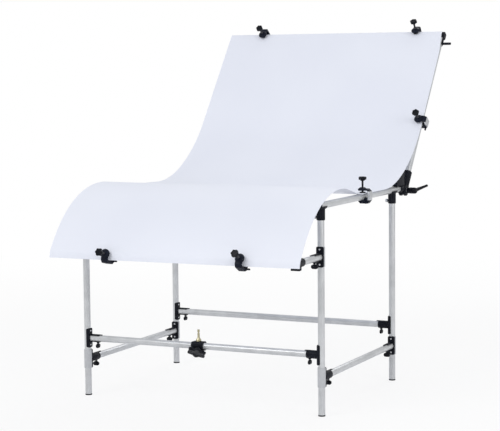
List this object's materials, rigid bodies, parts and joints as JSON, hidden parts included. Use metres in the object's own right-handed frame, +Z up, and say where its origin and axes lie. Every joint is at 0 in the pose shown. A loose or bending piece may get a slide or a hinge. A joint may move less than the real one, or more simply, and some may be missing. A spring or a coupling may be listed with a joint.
{
  "type": "product shooting table",
  "caption": "Free-standing tube-frame shooting table: a curved white sheet clamped over a seat and a tilting back, with a light holder on the front bar.",
  "frame": {"origin": "on the floor, in the middle of the table's overall length and width", "axes": "+Z up; +Y from the open front edge of the sheet towards the tilting back; +X to the right as seen from the front"},
  "size_m": [1.1488, 1.6623, 1.4529],
  "materials": {
    "tube_aluminium": "satin drawn tube",
    "connector_black": "moulded, fine grain",
    "clamp_black": "moulded, fine grain",
    "knob_black": "moulded, satin",
    "sheet_white": "matte flexible sheet",
    "pad_rubber": "matte",
    "spigot_brass": "turned, satin"
  },
  "bodies": {
    "root": {"leg_front_left": "tube_aluminium", "leg_front_right": "tube_aluminium", "leg_rear_left": "tube_aluminium", "leg_rear_right": "tube_aluminium", "top_rail_left": "tube_aluminium", "top_rail_right": "tube_aluminium", "front_cross_bar": "tube_aluminium", "rear_cross_bar": "tube_aluminium", "side_bar_left": "tube_aluminium", "side_bar_right": "tube_aluminium", "front_arm_left": "tube_aluminium", "front_arm_right": "tube_aluminium", "front_cross_tube": "tube_aluminium", "tee_front_left": "connector_black", "tee_front_right": "connector_black", "tee_rear_left": "connector_black", "tee_rear_right": "connector_black", "cross_flange_front_left": "connector_black", "cross_flange_front_right": "connector_black", "cross_flange_rear_left": "connector_black", "cross_flange_rear_right": "connector_black", "side_flange_front_left": "connector_black", "side_flange_front_right": "connector_black", "side_flange_rear_left": "connector_black", "side_flange_rear_right": "connector_black", "arm_flange_left": "connector_black", "arm_flange_right": "connector_black", "front_elbow_left": "connector_black", "front_elbow_right": "connector_black", "pivot_base_left": "connector_black", "pivot_base_right": "connector_black", "light_holder_body": "connector_black", "clamp_jaw_front_left": "clamp_black", "clamp_jaw_front_right": "clamp_black", "clamp_jaw_rail_right": "clamp_black", "sheet_seat": "sheet_white", "sheet_bend": "sheet_white", "light_holder_spigot": "spigot_brass"},
    "backrest": {"back_post_left": "tube_aluminium", "back_post_right": "tube_aluminium", "back_cross_tube": "tube_aluminium", "back_elbow_left": "connector_black", "back_elbow_right": "connector_black", "pivot_yoke_left": "connector_black", "pivot_yoke_right": "connector_black", "sheet_back": "sheet_white", "clamp_jaw_post_right": "clamp_black", "clamp_jaw_top_left": "clamp_black", "clamp_jaw_top_right": "clamp_black"},
    "lever_left": {"pivot_lever_left": "knob_black"},
    "lever_right": {"pivot_lever_right": "knob_black"},
    "screw_front_left": {"clamp_screw_front_left": "knob_black"},
    "screw_front_right": {"clamp_screw_front_right": "knob_black"},
    "screw_rail_right": {"clamp_screw_rail_right": "knob_black"},
    "screw_post_right": {"clamp_screw_post_right": "knob_black"},
    "screw_top_left": {"clamp_screw_top_left": "knob_black"},
    "screw_top_right": {"clamp_screw_top_right": "knob_black"},
    "holder_pad": {"light_holder_pad": "pad_rubber"},
    "holder_knob": {"light_holder_knob": "knob_black"}
  },
  "joints": [
    {"name": "backrest_tilt", "type": "hinge", "parent": "root", "child": "backrest", "pos_m": [0, 0.3155, 0.755], "axis": [1, 0, 0], "range_deg": [-53, 37], "deforming": ["sheet_bend"]},
    {"name": "lever_turn_left", "type": "hinge", "parent": "backrest", "child": "lever_left", "pos_m": [-0.49, 0.3155, 0.755], "axis": [-1, 0, 0], "range_deg": [0, 180]},
    {"name": "lever_turn_right", "type": "hinge", "parent": "backrest", "child": "lever_right", "pos_m": [0.49, 0.3155, 0.755], "axis": [1, 0, 0], "range_deg": [0, 180]},
    {"name": "clamp_screw_front_left", "type": "slide", "parent": "root", "child": "screw_front_left", "axis": [0, -0.9703, 0.2419], "range_m": [0, 0.004]},
    {"name": "clamp_screw_front_right", "type": "slide", "parent": "root", "child": "screw_front_right", "axis": [0, -0.8746, 0.4848], "range_m": [0, 0.004]},
    {"name": "clamp_screw_rail_right", "type": "slide", "parent": "root", "child": "screw_rail_right", "axis": [0, 0, 1], "range_m": [0, 0.004]},
    {"name": "clamp_screw_post_right", "type": "slide", "parent": "backrest", "child": "screw_post_right", "axis": [0, -0.7986, 0.6018], "range_m": [0, 0.004]},
    {"name": "clamp_screw_top_left", "type": "slide", "parent": "backrest", "child": "screw_top_left", "axis": [0, -0.7986, 0.6018], "range_m": [0, 0.004]},
    {"name": "clamp_screw_top_right", "type": "slide", "parent": "backrest", "child": "screw_top_right", "axis": [0, -0.5446, 0.8387], "range_m": [0, 0.004]},
    {"name": "holder_pad_slide", "type": "slide", "parent": "root", "child": "holder_pad", "axis": [0, -0.6157, -0.788], "range_m": [0, 0.002]},
    {"name": "holder_knob_turn", "type": "hinge", "parent": "holder_pad", "child": "holder_knob", "pos_m": [-0.008, -0.54, 0.224], "axis": [0, -0.6157, -0.788], "range_deg": [0, 576]}
  ],
  "couplings": [
    {"joint": "holder_pad_slide", "follows": "holder_knob_turn", "m_per_rad": 0.00019894}
  ]
}
